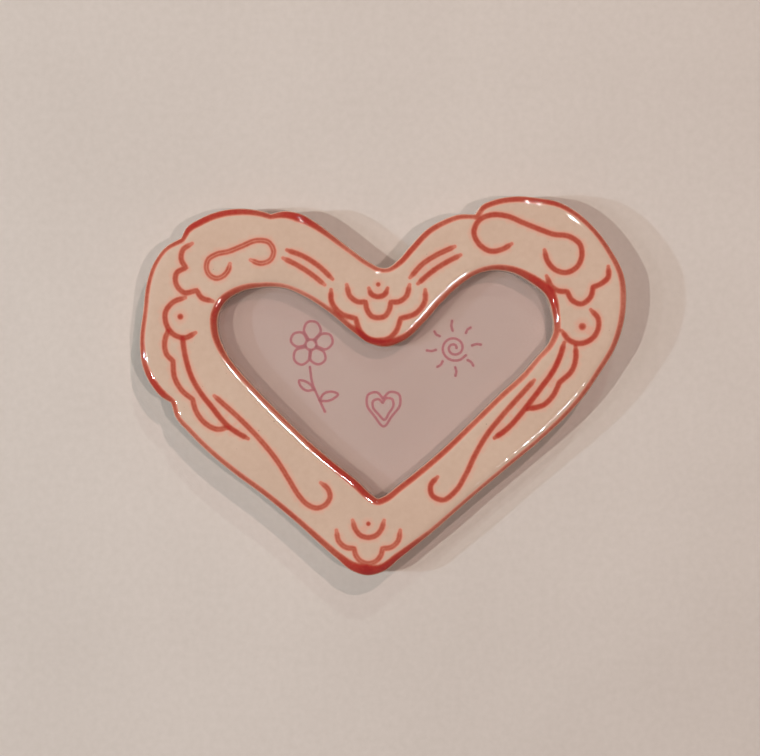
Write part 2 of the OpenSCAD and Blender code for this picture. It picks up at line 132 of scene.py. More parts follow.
back_at = 2.5 * mm
seat_at = 6.1 * mm
front_at = 12 * mm
side_draft = 0.2 * mm
back_round = 1 * mm
rim_drop = 2.2 * mm
rim_reach = 3.8 * mm
lip_drop = 2 * mm
lip_reach = 3.4 * mm
edge_sink = 0.12 * mm
rebate_lap = 4 * mm
groove_half = 0.75 * mm
groove_deep = 0.07 * mm
dot_spread = 1.3
waver_deep = 0.07 * mm
edge_step = 0.4 * mm


def on_frame(shares):
    """The places that a table gives."""
    return np.array([[s[0] / 1000 * frame_w, s[1] / 1000 * frame_h] for s in shares])


def unit(ways):
    return ways / np.linalg.norm(ways, axis=-1, keepdims=True)


def left_of(ways):
    return np.stack([-ways[..., 1], ways[..., 0]], -1)


def circle(turns):
    """Places on a circle of radius one."""
    return np.stack([np.cos(turns), np.sin(turns)], -1)


def off_point(middle, places):
    return np.linalg.norm(places - middle, axis=1)


def heading(places, i):
    """The way a smooth line takes through one of its places."""
    before = places[i] - places[i - 1]
    after = places[(i + 1) % len(places)] - places[i]
    near, far = np.linalg.norm(before), np.linalg.norm(after)
    return (before / near * far + after / far * near) / (near + far)


def smooth_line(places, closed, step, corners=()):
    """Points along the smooth curve through some places, no further apart than step."""
    last = len(places) - 1
    sharp = [i in corners or not closed and i in (0, last) for i in range(last + 1)]
    line = []
    for i in range(last + 1 if closed else last):
        j = (i + 1) % (last + 1)
        span = places[j] - places[i]
        reach = np.linalg.norm(span)
        start, end = [(span / reach if sharp[k] else heading(places, k)) * reach for k in (i, j)]
        steps = math.ceil(reach / step)
        t = np.arange(steps)[:, None] / steps
        line.append(
            places[i] * (2 * t**3 - 3 * t**2 + 1) + start * (t**3 - 2 * t**2 + t)
            + places[j] * (3 * t**2 - 2 * t**3) + end * (t**3 - t**2)
        )
    if not closed:
        line.append(places[-1:])
    return np.concatenate(line)


def table_line(shares, closed):
    """The smooth line through a table's places."""
    corners = [i for i, share in enumerate(shares) if len(share) == 3]
    return smooth_line(on_frame(shares), closed, edge_step, corners)


def drawn_in(ring, distance):
    """A closed outline moved to its left by a distance, or to its right where that is negative."""
    before = left_of(unit(ring - np.roll(ring, 1, 0)))
    after = left_of(unit(np.roll(ring, -1, 0) - ring))
    return ring + (before + after) / (1 + (before * after).sum(-1, keepdims=True)) * distance


def distance_to(line, closed, places):
    """How far each place is from a line, and which station of the line is nearest."""
    tree = KDTree(len(line))
    for i, (x, z) in enumerate(line):
        tree.insert((x, z, 0), i)
    tree.balance()
    station = np.array([tree.find((x, z, 0))[1] for x, z in places], int)
    off = np.full(len(places), np.inf)
    for first in (station - 1, station):
        if not closed:
            first = np.clip(first, 0, len(line) - 2)
        second = (first + 1) % len(line)
        way, out = line[second] - line[first], places - line[first]
        along = np.clip((out * way).sum(1) / (way**2).sum(1), 0, 1)
        off = np.minimum(off, np.linalg.norm(out - along[:, None] * way, axis=1))
    return off, station


def within(ring, places):
    """Which places lie inside a closed outline."""
    inside = np.zeros(len(places), bool)
    for (ax, az), (bx, bz) in zip(ring, np.roll(ring, -1, 0)):
        if az != bz:
            crossed = (places[:, 1] < az) != (places[:, 1] < bz)
            edge_x = ax + (places[:, 1] - az) * (bx - ax) / (bz - az)
            inside ^= crossed & (places[:, 0] < edge_x)
    return inside


def both_halves(shares, axis):
    """A shell's whole line, from its right half as it lies about its axis."""
    left = [[axis - s[0], *s[1:]] for s in shares[:0:-1]]
    return left + [[axis + s[0], *s[1:]] for s in shares]


top_axis, low_axis = -14, -34
# Each groove: its line, how much enamel it holds, and how far that has run from its middle
grooves = [
    (left_scroll, 0.95, 0.42), (left_upper_flute, 1, 0), (left_lower_flute, 0.95, 0.1),
    (left_shell, 1, 0.1), (left_curl, 1.05, 0.1), (left_outer_leaf, 1, 0.15),
    (left_inner_leaf, 1.15, 0), (left_stem, 0.95, 0.15), (right_scroll, 1.1, 0.1),
    (right_upper_flute, 1, 0.15), (right_lower_flute, 1, 0), (right_shell, 1.1, 0),
    (right_curl, 1.15, 0), (right_outer_leaf, 1.15, 0), (right_inner_leaf, 1.25, 0),
    (right_stem, 1.05, 0), (both_halves(top_cup, top_axis), 1.1, 0),
    (both_halves(top_inner_shell, top_axis), 1, 0.1),
    (both_halves(top_outer_shell, top_axis), 1.05, 0),
    (both_halves(low_cup, low_axis), 0.95, 0.1), (both_halves(low_shell, low_axis), 0.95, 0.18),
]
groove_lines = [table_line(shares, False) for shares, ink, hollow in grooves]
# Each pressed dot: its middle, and its radius
dot_shares = [[-417, -26], [402, -52], [-14, 58], [-34, -567]]
dots = list(zip(on_frame(dot_shares), (0.9 * mm, 1.1 * mm, 0.7 * mm, 0.7 * mm)))
# How strong the enamel is along a rim, and how many millimetres it reaches in, at points of
# the outline
rim_enamel = {
    0: (0.9, 1.7), 3: (0.75, 1.8), 4: (0.95, 2), 5: (1.25, 2.4), 6: (1.5, 2.9),
    7: (1.35, 2.5), 8: (1.1, 2), 9: (1.1, 2.1), 10: (1.25, 2.3), 11: (1.4, 2.4),
    12: (1.55, 2.5), 13: (1.45, 2.3), 14: (1.2, 1.9), 15: (1, 1.7), 17: (1, 1.8),
    19: (0.95, 1.9), 20: (1.1, 2.2), 21: (1.4, 2.5), 22: (1.35, 2.5), 23: (1.05, 2),
    24: (0.8, 1.9), 27: (0.85, 2), 29: (1.05, 2.1), 30: (1.05, 2.5), 31: (1.5, 3.2),
    32: (2.1, 3.6), 33: (1.7, 2.8), 34: (1.5, 2.3), 35: (0.8, 1.7), 36: (0.75, 1.5),
    38: (0.8, 1.6), 40: (0.85, 1.8), 42: (0.9, 2), 44: (0.7, 2.4), 45: (0.8, 2.3),
    47: (0.95, 1.9), 48: (1, 1.9), 49: (1.2, 2), 51: (1.1, 2.2), 53: (1.05, 2.1),
    54: (0.9, 1.8), 56: (0.95, 2.1), 57: (1.1, 2.2), 58: (1.1, 2.2), 59: (1.2, 2.1),
}
lip_enamel = {
    0: (1.3, 2), 1: (1.2, 1.9), 2: (1.1, 1.7), 3: (0.9, 1.4), 4: (0.7, 1.3),
    5: (0.65, 1.2), 6: (0.8, 1.3), 7: (1, 1.7), 8: (1.2, 2), 9: (1.35, 2),
    10: (1.25, 1.9), 11: (1, 1.6), 12: (0.8, 1.2), 15: (0.8, 1.2), 16: (1.3, 1.8),
    17: (1.45, 2.1), 18: (1.35, 1.9), 19: (1.3, 1.8), 20: (1.2, 1.8), 22: (1.1, 1.7),
    23: (0.95, 1.6), 25: (0.8, 1.6), 26: (0.7, 1.4), 27: (0.8, 1.6), 28: (0.9, 1.8),
    29: (1.1, 2), 30: (1.6, 2.6), 31: (1.45, 2.3), 32: (1.15, 1.8), 33: (0.95, 1.5),
    34: (0.85, 1.3), 35: (0.8, 1.3), 37: (0.85, 1.6), 38: (1.2, 1.9),
}
# Where a rim's pale line ends, how slowly the enamel comes in from it, and how it fades out
rim_pale, lip_pale = 0.25 * mm, -0.1 * mm
pale_rise, enamel_fade = 0.65 * mm, 1.1 * mm
# Half the width of a groove's enamel and of its paler core, and how sharply the enamel ends
enamel_half, core_half, enamel_edge = 0.8 * mm, 0.25 * mm, 5
# A groove runs out shallow and narrow over its last few steps
end_steps, end_ink, end_width = 4, 0.65, 0.75
dot_ink = 1.05

# The outer outline is drawn in by a hair, so that its finer curve stays in the solid's box
hair = 0.05 * mm
heart_edge = drawn_in(table_line(heart_shares, True), hair)
opening_edge = table_line(opening_shares, True)
rebate_edge = drawn_in(opening_edge, -rebate_lap)


def ease(t):
    """From nothing to one, slow at both ends."""
    t = np.clip(t, 0, 1)
    return t * t * (3 - 2 * t)


def shoulder(inset, reach, drop):
    """How far a rounded edge has fallen below the face, at an inset from the edge."""
    left = np.clip(1 - inset / reach, 0, 1)
    return drop * (1 - np.sqrt(1 - left**2))


def waver(places):
    """The unevenness of a hand-finished face, from nothing to one."""
    x, z = places.T / mm
    swell = np.sin(x / 3.1 + 0.7 * np.sin(z / 4.3)) * np.sin(z / 2.7 + 1.3 * np.sin(x / 5.1))
    ripple = np.sin(x / 0.83 + z / 1.21 + 2 * np.sin(z / 3.7))
    return 0.5 + 0.36 * swell + 0.14 * ripple


def near_line(line, places, margin):
    """Which places lie in the box round a line."""
    return ((places > line.min(0) - margin) & (places < line.max(0) + margin)).all(1)


def dip(off):
    """How deep the face is carved, at a share of a groove's or a dot's half width."""
    return groove_deep * (1 + np.cos(np.pi * np.minimum(off, 1))) / 2


def groove_depth(places):
    depth = np.zeros(len(places))
    for line in groove_lines:
        near = near_line(line, places, groove_half)
        off = distance_to(line, False, places[near])[0]
        depth[near] = np.maximum(depth[near], dip(off / groove_half))
    for middle, radius in dots:
        depth = np.maximum(depth, dip(off_point(middle, places) / (radius * dot_spread)))
    return depth


def face_height(places):
    """Height of the front above the wall."""
    rim = distance_to(heart_edge, True, places)[0] - side_draft
    lip = distance_to(opening_edge, True, places)[0]
    fall = shoulder(rim, rim_reach, rim_drop) + shoulder(lip, lip_reach, lip_drop)
    return front_at - fall - groove_depth(places) - waver_deep * waver(places)


def band(places, edge, shares, anchors, pale):
    """The enamel along a rim: its strength and reach follow the anchors, from a pale line in."""
    corners = on_frame(shares)
    spans = np.linalg.norm(np.roll(corners, -1, 0) - corners, axis=1)
    counts = np.ceil(spans / edge_step).astype(int)
    rounds = np.concatenate([i + np.arange(n) / n for i, n in enumerate(counts)])
    strength, reach = [
        np.interp(rounds, list(anchors), values, period=len(shares))
        for values in zip(*anchors.values())
    ]
    off, station = distance_to(edge, True, places)
    strength, reach = strength[station], reach[station] * mm
    rise = ease((off - pale) / pale_rise)
    return strength * rise * (1 - ease((off - reach + enamel_fade / 2) / enamel_fade))


def enamel(places):
    """How much red lies under the glaze: nothing on the open face, about one in a groove."""
    depth = band(places, heart_edge, heart_shares, rim_enamel, rim_pale)
    depth += band(places, opening_edge, opening_shares, lip_enamel, lip_pale)
    for line, (shares, ink, hollow) in zip(groove_lines, grooves):
        near = near_line(line, places, 3 * enamel_half)
        off, station = distance_to(line, False, places[near])
        full = ease(np.minimum(station, len(line) - 1 - station) / end_steps)
        core = hollow * np.exp(-((off / core_half) ** 2))
        pool = ink * (end_ink + (1 - end_ink) * full) * (1 - core)
        half = enamel_half * (end_width + (1 - end_width) * full)
        depth[near] += pool / (1 + (off / half) ** enamel_edge)
    for middle, radius in dots:
        depth += dot_ink / (1 + (off_point(middle, places) / radius) ** enamel_edge)
    return depth * (0.9 + 0.2 * waver(places))


# The front is one net: rings round both rims, lines beside every groove, a looser net between.
# Insets and offsets are in millimetres
strip_insets = [0.04, 0.15, 0.33, 0.58, 0.9, 1.25, 1.6]
rim_insets, coarse_inset = [2, 2.4, 2.9, 3.5, 4.2], 2.5
groove_offsets = [0, 0.2, 0.4, 0.6, 0.8, 1.05]
inset_play, offset_play, strip_clear, rim_clear = 0.12, 0.06, 0.1, 0.6
ring_clear, open_clear, least_apart = 1.2 * mm, 1.6 * mm, 0.14 * mm
open_step, end_step = 1.25 * mm, 0.12 * mm
groove_box, open_limit = 2 * mm, 10 * mm


def beside(line, off):
    """Points on both sides of a line at an offset, and round its ends."""
    ways = unit(np.gradient(line, axis=0))
    sides = left_of(ways)
    points = [line + sides * off, line - sides * off]
    turns = np.linspace(0, np.pi, 3 + int(off / end_step))[1:-1, None]
    for end, way, side in ((line[0], -ways[0], sides[0]), (line[-1], ways[-1], sides[-1])):
        points.append(end + (way * np.sin(turns) + side * np.cos(turns)) * off)
    return np.concatenate(points)


def off_grooves(places):
    """How far each place is from the nearest groove or dot, up to a limit."""
    nearest = np.full(len(places), open_limit)
    for line in groove_lines:
        near = near_line(line, places, groove_box)
        off = distance_to(line, False, places[near])[0]
        nearest[near] = np.minimum(nearest[near], off)
    for middle, radius in dots:
        nearest = np.minimum(nearest, off_point(middle, places) - radius)
    return nearest


def thinned(points, apart):
    """The first point in each small cell of the plane."""
    cells = np.round(points / apart).astype(int)
    return points[np.sort(np.unique(cells, axis=0, return_index=True)[1])]


face_points = []
for off in groove_offsets:
    points = np.concatenate([beside(line, off * mm) for line in groove_lines])
    face_points.append(points[off_grooves(points) > (off - offset_play) * mm])
turns = np.linspace(0, 2 * np.pi, 13)[:-1]
for middle, radius in dots:
    for share in (0, 0.25, 0.5, 0.75, 1, dot_spread):
        face_points.append(middle + share * radius * circle(turns))
for edge, side in ((heart_edge, 1), (opening_edge, -1)):
    for inset in rim_insets:
        points = drawn_in(edge, side * inset * mm)[::1 if inset < coarse_inset else 2]
        clear = distance_to(edge, True, points)[0] > (inset - inset_play) * mm
        face_points.append(points[clear & (off_grooves(points) > ring_clear)])
low_x, low_z = heart_edge.min(0)
grid = np.array([
    [low_x + (i + 0.5 * (j % 2)) * open_step, low_z + j * open_step]
    for j in range(int(frame_h / open_step) + 1) for i in range(int(frame_w / open_step) + 1)
])
clear = off_grooves(grid) > open_clear
for edge in (heart_edge, opening_edge):
    clear &= distance_to(edge, True, grid)[0] > (rim_insets[-1] + rim_clear) * mm
face_points.append(grid[clear])
face_points = thinned(np.concatenate(face_points), least_apart)
inside = within(heart_edge, face_points) & ~within(opening_edge, face_points)
strips_end = side_draft + (strip_insets[-1] + strip_clear) * mm
for edge in (heart_edge, opening_edge):
    inside &= distance_to(edge, True, face_points)[0] > strips_end
face_points = face_points[inside]


class Mould:
    """Gathers the corners and faces of one mesh, then makes its piece."""

    def __init__(self):
        self.corners, self.faces = [], []

    def add(self, places, heights):
        """Adds places at their height above the wall, and gives their numbers."""
        first = len(self.corners)
        heights = np.broadcast_to(heights, len(places))
        self.corners += [(x, -h, z) for (x, z), h in zip(places, heights)]
        return list(range(first, len(self.corners)))

    def wall(self, low, high):
        """Joins two rings of one count by a band of faces."""
        for i in range(len(low)):
            j = (i + 1) % len(low)
            self.faces.append((low[i], low[j], high[j], high[i]))

    def loft(self, rings):
        """Adds rings of one count, each a pair of places and height, joined in turn."""
        made = [self.add(places, height) for places, height in rings]
        for low, high in zip(made, made[1:]):
            self.wall(low, high)
        return made[0], made[-1]

    def web(self, rings, loose=()):
        """Fills the space within the first ring and outside the others, through loose points."""
        numbers = [n for ring in rings for n in ring] + list(loose)
        flat = [Vector((self.corners[n][0] / mm, self.corners[n][2] / mm)) for n in numbers]
        edges, at = [], 0
        for ring in rings:
            edges += [(at + i, at + (i + 1) % len(ring)) for i in range(len(ring))]
            at += len(ring)
        hull, nearness = 0, 1e-6
        places, _, triangles, own, _, _ = delaunay_2d_cdt(flat, edges, [], hull, nearness, True)
        triangles = np.array(triangles)
        middles = np.array([tuple(place) for place in places])[triangles].mean(1) * mm
        inside = np.ones(len(triangles), bool)
        for k, ring in enumerate(rings):
            outline = np.array([[self.corners[n][0], self.corners[n][2]] for n in ring])
            inside &= within(outline, middles) == (k == 0)
        self.faces += [tuple(numbers[own[k][0]] for k in t) for t in triangles[inside]]

    def piece(self, name, *finishes, sharp=35):
        """Makes the piece, its faces turned outwards and shaded smooth up to an angle."""
        mesh = bpy.data.meshes.new(name)
        mesh.from_pydata(self.corners, [], self.faces)
        shell = bmesh.new()
        shell.from_mesh(mesh)
        bmesh.ops.recalc_face_normals(shell, faces=shell.faces)
        shell.to_mesh(mesh)
        shell.free()
        mesh.shade_smooth()
        mesh.set_sharp_from_angle(angle=math.radians(sharp))
        for finish in finishes:
            mesh.materials.append(finish)
        return placed(name, mesh)


def placed(name, data):
    """Puts a new object in the scene."""
    made = bpy.data.objects.new(name, data)
    bpy.context.scene.collection.objects.link(made)
    return made


def disc(middle, radius, count=48):
    """A ring of places round a middle."""
    return middle + radius * circle(np.arange(count) * 2 * np.pi / count)


magnet_names = ("magnet_top", "magnet_left", "magnet_right", "magnet_bottom")
magnet_places = on_frame([[0, 0], [-424, -60], [424, -60], [-31, -616]])
# Each turn button's pivot and the way its arm points, square to the opening at one point
pivot_out = rebate_lap + 4.5 * mm
pivot_points = {"upper_left": 6, "upper_right": 32, "lower_left": 14, "lower_right": 23}
opening_places = on_frame(opening_shares)
pivots = {}
for name, point in pivot_points.items():
    way = left_of(unit(heading(opening_places, point)))
    pivots[name] = (opening_places[point] - way * pivot_out, way)

cast = Mould()
rings = [
    (
        drawn_in(heart_edge, back_round * (1 - np.sin(turn))),
        back_at + back_round * (1 - np.cos(turn)),
    )
    for turn in np.linspace(0, np.pi / 2, 6)
]
side_low, side_high = back_at + back_round, front_at - rim_drop - edge_sink
rings += [
    (drawn_in(heart_edge, side_draft * share), side_low + (side_high - side_low) * share)
    for share in (0.25, 0.5, 0.75, 1)
]
for inset in strip_insets:
    places = drawn_in(heart_edge, side_draft + inset * mm)
    rings.append((places, face_height(places)))
back_ring, rim_ring = cast.loft(rings)
side_faces = len(cast.faces)
wall_high = front_at - lip_drop - edge_sink
rings = [(rebate_edge, back_at), (rebate_edge, seat_at), (opening_edge, seat_at)]
rings += [(opening_edge, seat_at + (wall_high - seat_at) * share) for share in (0.3, 0.6, 1)]
for inset in strip_insets:
    places = drawn_in(opening_edge, -inset * mm)
    rings.append((places, face_height(places)))
rebate_ring, lip_ring = cast.loft(rings)
cast.web([rim_ring, lip_ring], cast.add(face_points, face_height(face_points)))
front_faces = len(cast.faces)
# The back, with a shallow pocket for each magnet and a hole for each anchor plug
pocket_r, pocket_deep = 6.2 * mm, 0.5 * mm
plug_hole_r, plug_hole_deep = 2.55 * mm, 6.2 * mm
sunk = [(middle, pocket_r, pocket_deep) for middle in magnet_places]
sunk += [(middle, plug_hole_r, plug_hole_deep) for middle, way in pivots.values()]
mouths = []
for middle, radius, deep in sunk:
    edge = disc(middle, radius)
    floor, mouth = cast.loft([(edge, back_at + deep), (edge, back_at)])
    cast.faces.append(tuple(floor))
    mouths.append(mouth)
cast.web([back_ring, rebate_ring, *mouths])
heart = cast.piece("ceramic_heart")

# The enamel's depth goes to the glaze as a value at every corner of the front
places = np.array(cast.corners)[:, [0, 2]]
front = -np.array(cast.corners)[:, 1] > wall_high
red = np.zeros(len(places))
red[front] = enamel(places[front])
heart.data.attributes.new("enamel", "FLOAT", "POINT").data.foreach_set("value", red)


def new_finish(name):
    """A material with an empty node tree, and that tree."""
    material = bpy.data.materials.new(name)
    material.use_nodes = True
    material.node_tree.nodes.clear()
    return material, material.node_tree


def put(tree, kind, inputs=None, **settings):
    """Places a shader node. An input that is given a socket is linked to it."""
    node = tree.nodes.new("ShaderNode" + kind)
    for name, value in settings.items():
        setattr(node, name, value)
    for name, value in (inputs or {}).items():
        if isinstance(value, bpy.types.NodeSocket):
            tree.links.new(value, node.inputs[name])
        else:
            node.inputs[name].default_value = value
    return node


def colour(red, green, blue):
    """A colour as it shows on a screen, from 0 to 255, for a socket."""
    return [((c / 255 + 0.055) / 1.055) ** 2.4 for c in (red, green, blue)] + [1]


def ramp(tree, value, stops):
    """A colour for each value, from stops of a place and a colour as it shows on a screen."""
    node = put(tree, "ValToRGB", {"Fac": value})
    marks = node.color_ramp.elements
    while len(marks) < len(stops):
        marks.new(0.5)
    for mark, (place, tint) in zip(marks, stops):
        mark.position = place
        mark.color = colour(*tint)
    return node.outputs["Color"]


def between(tree, value, low, high, least=0, most=1):
    """A value carried from low..high to least..most, and held there."""
    return put(tree, "MapRange", {
        "Value": value, "From Min": low, "From Max": high, "To Min": least, "To Max": most,
    }).outputs["Result"]


def mixed(tree, share, first, second, way="MIX"):
    """Two colours mixed by a share."""
    colours = {0: share, 6: first, 7: second}
    return put(tree, "Mix", colours, data_type="RGBA", blend_type=way).outputs[2]


def toned(tree, shade, value, low):
    """A colour that takes a low tone where a value is low."""
    tone = ramp(tree, value, [(0.3, low), (0.7, (255, 255, 255))])
    return mixed(tree, 1, shade, tone, "MULTIPLY")


def maths(tree, way, first, second):
    return put(tree, "Math", {0: first, 1: second}, operation=way).outputs[0]


def noise(tree, scale, detail=3, twist=0):
    """Noise in the piece's own coordinates, with its features scale millimetres across."""
    at = put(tree, "TexCoord").outputs["Object"]
    return put(tree, "TexNoise", {
        "Vector": at, "Scale": 1 / (scale * mm), "Detail": detail, "Distortion": twist,
    }).outputs["Fac"]


def bumped(tree, height, strength, deep):
    """The normal of a surface that rises and falls with a height, this deep."""
    return put(tree, "Bump", {
        "Strength": strength, "Distance": deep, "Height": height,
    }).outputs["Normal"]


def finished(tree, shader):
    """Gives a material its surface."""
    put(tree, "OutputMaterial", {"Surface": shader.outputs[0]})


def surfaced(tree, inputs):
    finished(tree, put(tree, "BsdfPrincipled", inputs))


def new_mask(name, **inputs):
    """A node group with named inputs that puts out one mask: the group, and its inputs."""
    group = bpy.data.node_groups.new(name, "ShaderNodeTree")
    for label, value in inputs.items():
        given = group.interface.new_socket(label, in_out="INPUT", socket_type="NodeSocketFloat")
        given.default_value = value
    group.interface.new_socket("Mask", in_out="OUTPUT", socket_type="NodeSocketFloat")
    return group, group.nodes.new("NodeGroupInput").outputs


def fired_specks():
    """Sparse iron specks, from their spacing, their size and the share of them that shows."""
    group, given = new_mask("Fired specks", Spacing=6 * mm, Size=0.25 * mm, Share=0.4)
    at = put(group, "TexCoord").outputs["Object"]
    scale = maths(group, "DIVIDE", 1.0, given["Spacing"])
    cells = put(group, "TexVoronoi", {"Vector": at, "Scale": scale}, feature="F1").outputs
    off = maths(group, "MULTIPLY", cells["Distance"], given["Spacing"])
    spot = between(group, maths(group, "DIVIDE", off, given["Size"]), 0.6, 1.1, 1, 0)
    pick = put(group, "SeparateColor", {"Color": cells["Color"]}).outputs[0]
    chosen = maths(group, "LESS_THAN", pick, given["Share"])
    mask = maths(group, "MULTIPLY", spot, chosen)
    group.links.new(mask, group.nodes.new("NodeGroupOutput").inputs["Mask"])
    return group


def masked(tree, group, **values):
    """Places a mask group with its own values, and gives its mask."""
    node = tree.nodes.new("ShaderNodeGroup")
    node.node_tree = group
    for name, value in values.items():
        node.inputs[name].default_value = value
    return node.outputs["Mask"]


specks = fired_specks()

glaze, tree = new_finish("cream_and_red_glaze")
depth = put(tree, "Attribute", attribute_name="enamel").outputs["Fac"]
cream = ramp(tree, noise(tree, 26, 4), [
    (0.36, (201, 163, 141)), (0.52, (203, 165, 143)), (0.68, (205, 168, 146)),
])
cream = toned(tree, cream, noise(tree, 1.6, 4), (250, 249, 248))
for spacing, size, share in ((7 * mm, 0.3 * mm, 0.5), (3.1 * mm, 0.14 * mm, 0.4)):
    mask = masked(tree, specks, Spacing=spacing, Size=size, Share=share)
    cream = mixed(tree, mask, cream, colour(150, 118, 100))
streaky = between(tree, noise(tree, 0.9), 0.3, 0.7, 0.9, 1.1)
depth = maths(tree, "MULTIPLY", depth, streaky)
red_glaze = ramp(tree, between(tree, depth, 0, 2), [
    (0, (222, 156, 133)), (0.12, (217, 143, 121)), (0.25, (203, 117, 95)),
    (0.4, (181, 87, 65)), (0.52, (169, 65, 45)), (0.7, (170, 42, 27)), (1, (154, 16, 9)),
])
surfaced(tree, {
    "Base Color": mixed(tree, between(tree, depth, 0.02, 0.4), cream, red_glaze),
    "Roughness": 0.07, "IOR": 1.5, "Specular IOR Level": 0.36,
    "Normal": bumped(tree, noise(tree, 5, 2), 0.5, 0.15 * mm),
})

bisque, tree = new_finish("bare_fired_clay")
clay = ramp(tree, noise(tree, 14, 5), [
    (0.3, (206, 186, 166)), (0.5, (216, 198, 179)), (0.72, (224, 208, 190)),
])
mask = masked(tree, specks, Spacing=2.2 * mm, Size=0.16 * mm, Share=0.5)
grain = noise(tree, 0.35, 5)
surfaced(tree, {
    "Base Color": mixed(tree, mask, clay, colour(150, 124, 102)),
    "Roughness": between(tree, grain, 0.3, 0.7, 0.78, 0.95),
    "Normal": bumped(tree, grain, 0.6, 0.08 * mm),
})

heart.data.materials.append(glaze)
heart.data.materials.append(bisque)
# The glaze stops short of the back, and the rebate behind the opening is bare
glaze_ends = back_at + 0.3 * mm
rebate_faces = side_faces + 2 * len(opening_edge)
heart.data.polygons.foreach_set("material_index", np.array([
    face.index >= front_faces or side_faces <= face.index < rebate_faces
    or -face.center.y < glaze_ends
    for face in heart.data.polygons
], np.int32))
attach(heart, "frame")
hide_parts("frame_casting")

# The magnets.
# Four nickel-plated neodymium discs, glued into shallow pockets in the clay, so that the frame
# holds itself flat to steel by both lobes, the notch and the tip.
def fine_scratches():
    """Handling marks on bright metal: fine lines that cross."""
    group, given = new_mask("Fine scratches", Size=mm)
    at = put(group, "TexCoord").outputs["Object"]
    scale = maths(group, "DIVIDE", 1.0, given["Size"])
    masks = []
    for turn in (0.5, 2.1):
        lie = put(group, "Mapping", {
            "Vector": at, "Rotation": (0, turn, 0), "Scale": (1, 1, 0.06),
        }).outputs[0]
        lines = put(group, "TexNoise", {"Vector": lie, "Scale": scale, "Detail": 2.0})
        masks.append(between(group, lines.outputs["Fac"], 0.58, 0.7))
    mask = maths(group, "MAXIMUM", *masks)
    group.links.new(mask, group.nodes.new("NodeGroupOutput").inputs["Mask"])
    return group


def bright_metal(name, dark, light, smooth, rough, cloud_size, scratch_size):
    """A plated metal: clouded, finely scratched, and duller where it is scratched."""
    metal, tree = new_finish(name)
    cloud = noise(tree, cloud_size, 4)
    worn = maths(tree, "MULTIPLY", masked(tree, scratches, Size=scratch_size), cloud)
    surfaced(tree, {
        "Base Color": ramp(tree, cloud, [(0.3, dark), (0.7, light)]), "Metallic": 1.0,
        "Roughness": between(tree, worn, 0, 0.5, smooth, rough),
        "Normal": bumped(tree, worn, 0.3, 0.01 * mm),
    })
    return metal


scratches = fine_scratches()
nickel = bright_metal("nickel_plate", (204, 201, 194), (224, 222, 216), 0.2, 0.4, 4, 0.5 * mm)
# Radius and height down the side, with its rounded edges
magnet_r, magnet_high, magnet_edge = 6 * mm, 3 * mm, 0.3 * mm
magnet_side = [
    (magnet_r - magnet_edge * (1 - np.sin(turn)), magnet_edge * (1 - np.cos(turn)))
    for turn in np.linspace(0, np.pi / 2, 5)
]
magnet_side += [(radius, magnet_high - height) for radius, height in magnet_side[::-1]]
for name, middle in zip(magnet_names, magnet_places):
    mould = Mould()
    ends = mould.loft([(disc(middle, radius, 64), height) for radius, height in magnet_side])
    mould.faces += [tuple(end) for end in ends]
    magnet = mould.piece(name + "_disc", nickel)
    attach(magnet, "frame")
    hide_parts(name)

# The window pane.
# A clear sheet cut to the rebate, with polished faces. It lies against the clay behind the lip.
insert_play, insert_step = 0.4 * mm, 0.8 * mm
pane_back, pane_bevel = 4.9 * mm, 0.12 * mm
insert_edge = smooth_line(opening_places, True, insert_step)
insert_edge = drawn_in(insert_edge, insert_play - rebate_lap)


def sheet(rings, low, high, bevel, loose=()):
    """A flat piece with eased edges, from its outline, its holes and loose points in its front."""
    mould = Mould()
    ends = []
    steps = [(1, 0), (0.3, 0.3), (0, 1)]
    for k, ring in enumerate(rings):
        side = 1 if k == 0 else -1
        profile = [(side * bevel * draw, low + bevel * rise) for draw, rise in steps]
        profile += [(side * bevel * draw, high - bevel * rise) for draw, rise in steps[::-1]]
        ends.append(mould.loft([(drawn_in(ring, draw), height) for draw, height in profile]))
    mould.web([back for back, front in ends])
    mould.web([front for back, front in ends], mould.add(loose, high))
    return mould


clear, tree = new_finish("clear_pane")
glass = put(tree, "BsdfPrincipled", {
    "Base Color": colour(248, 250, 249), "IOR": 1.49, "Transmission Weight": 1.0,
    "Roughness": between(tree, noise(tree, 7, 4), 0.4, 0.75, 0.015, 0.05),
})
lamplight = put(tree, "BsdfTransparent", {"Color": colour(246, 248, 247)}).outputs[0]
# Light reaches the card and leaves it unbent
for kind in ("Is Shadow Ray", "Is Diffuse Ray"):
    passing = put(tree, "LightPath").outputs[kind]
    glass = put(tree, "MixShader", {0: passing, 1: glass.outputs[0], 2: lamplight})
finished(tree, glass)
pane = sheet([insert_edge], pane_back, seat_at, pane_bevel).piece("clear_window", clear)
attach(pane, "frame")
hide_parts("window_pane")

# The card.
# A sheet of smooth white card with a small felt-tip drawing, held flat behind the pane. The
# pen leaves a blot where a stroke starts and ends.
card_back, card_front, card_bevel = 4.5 * mm, 4.8 * mm, 0.05 * mm
pen_half, pen_edge, pen_step = 0.4 * mm, 8, 0.3 * mm
blot_ink, blot_r = 0.4, 0.4 * mm


def turned_about(middle, points, turn=0, size=1):
    """Points drawn about a place, turned by degrees and scaled."""
    c, s = math.cos(math.radians(turn)), math.sin(math.radians(turn))
    return [
        (middle[0] + (c * x - s * z) * size, middle[1] + (s * x + c * z) * size)
        for x, z in points
    ]


